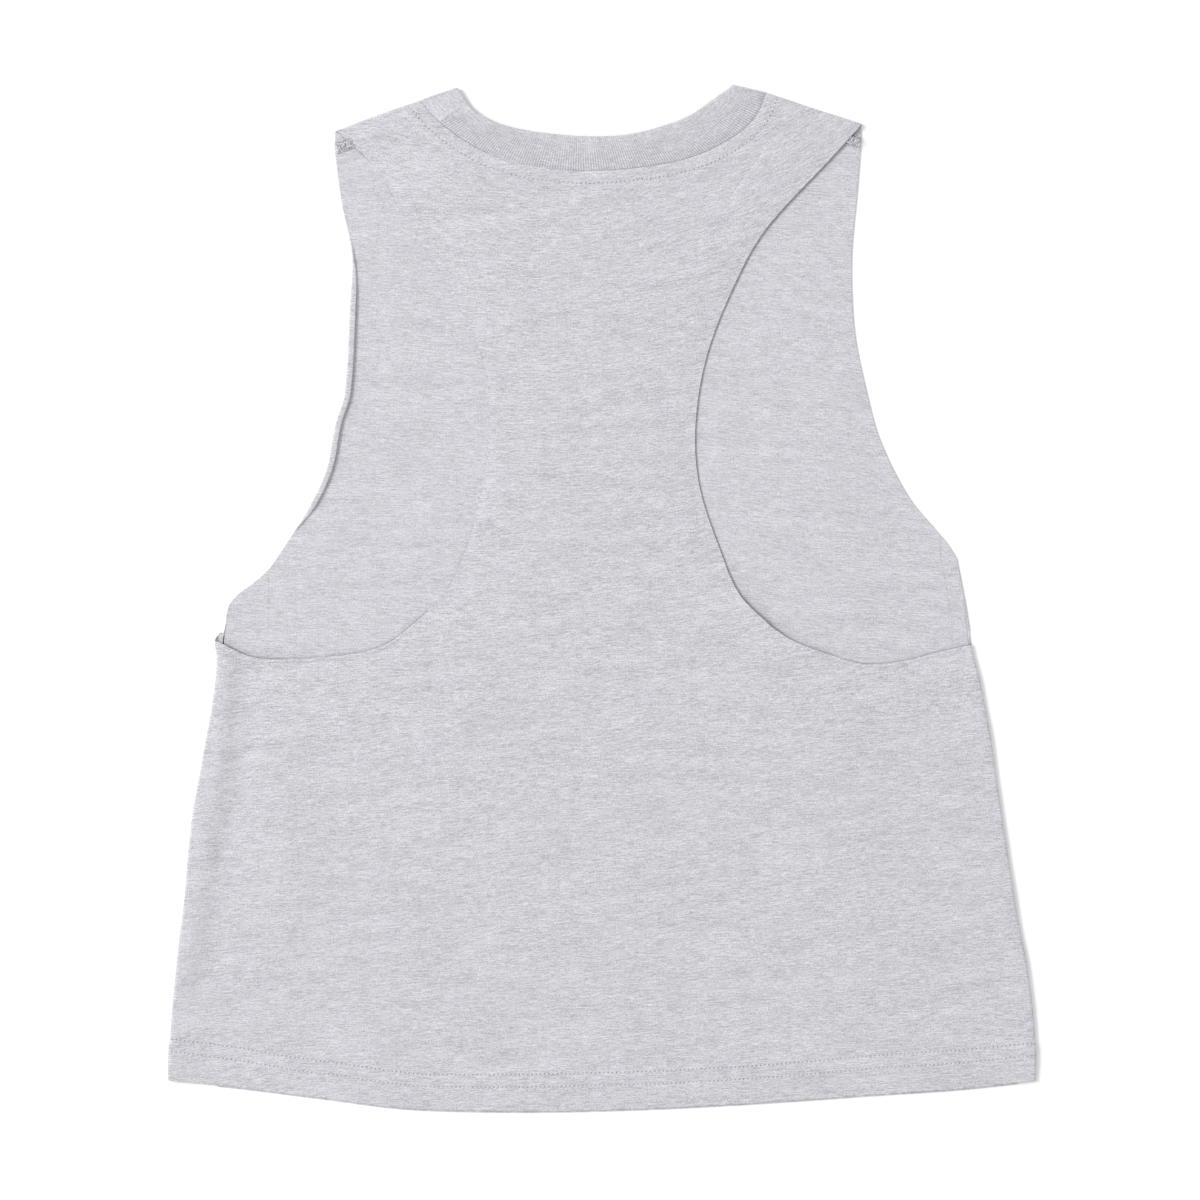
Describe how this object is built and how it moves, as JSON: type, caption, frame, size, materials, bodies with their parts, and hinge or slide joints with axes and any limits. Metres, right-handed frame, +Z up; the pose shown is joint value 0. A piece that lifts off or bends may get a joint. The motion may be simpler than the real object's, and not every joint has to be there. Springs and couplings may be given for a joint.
{
  "type": "tank top",
  "caption": "Cropped racerback tank top in marl jersey, laid flat with its back up: deep raw-edged armholes, doubled rib neckband and a turned-up hem.",
  "frame": {"origin": "on the surface the garment lies on, under the middle of its bounding box", "axes": "+Z up from the surface, +Y from the hem to the neck, +X to the right as seen from above"},
  "size_m": [0.4516, 0.5347, 0.0041],
  "materials": {
    "jersey": "matt light grey marl single jersey",
    "rib": "matt light grey marl rib knit, doubled"
  },
  "bodies": {
    "root": {"back_panel": "jersey", "front_panel": "jersey", "neckband": "rib"}
  },
  "joints": []
}
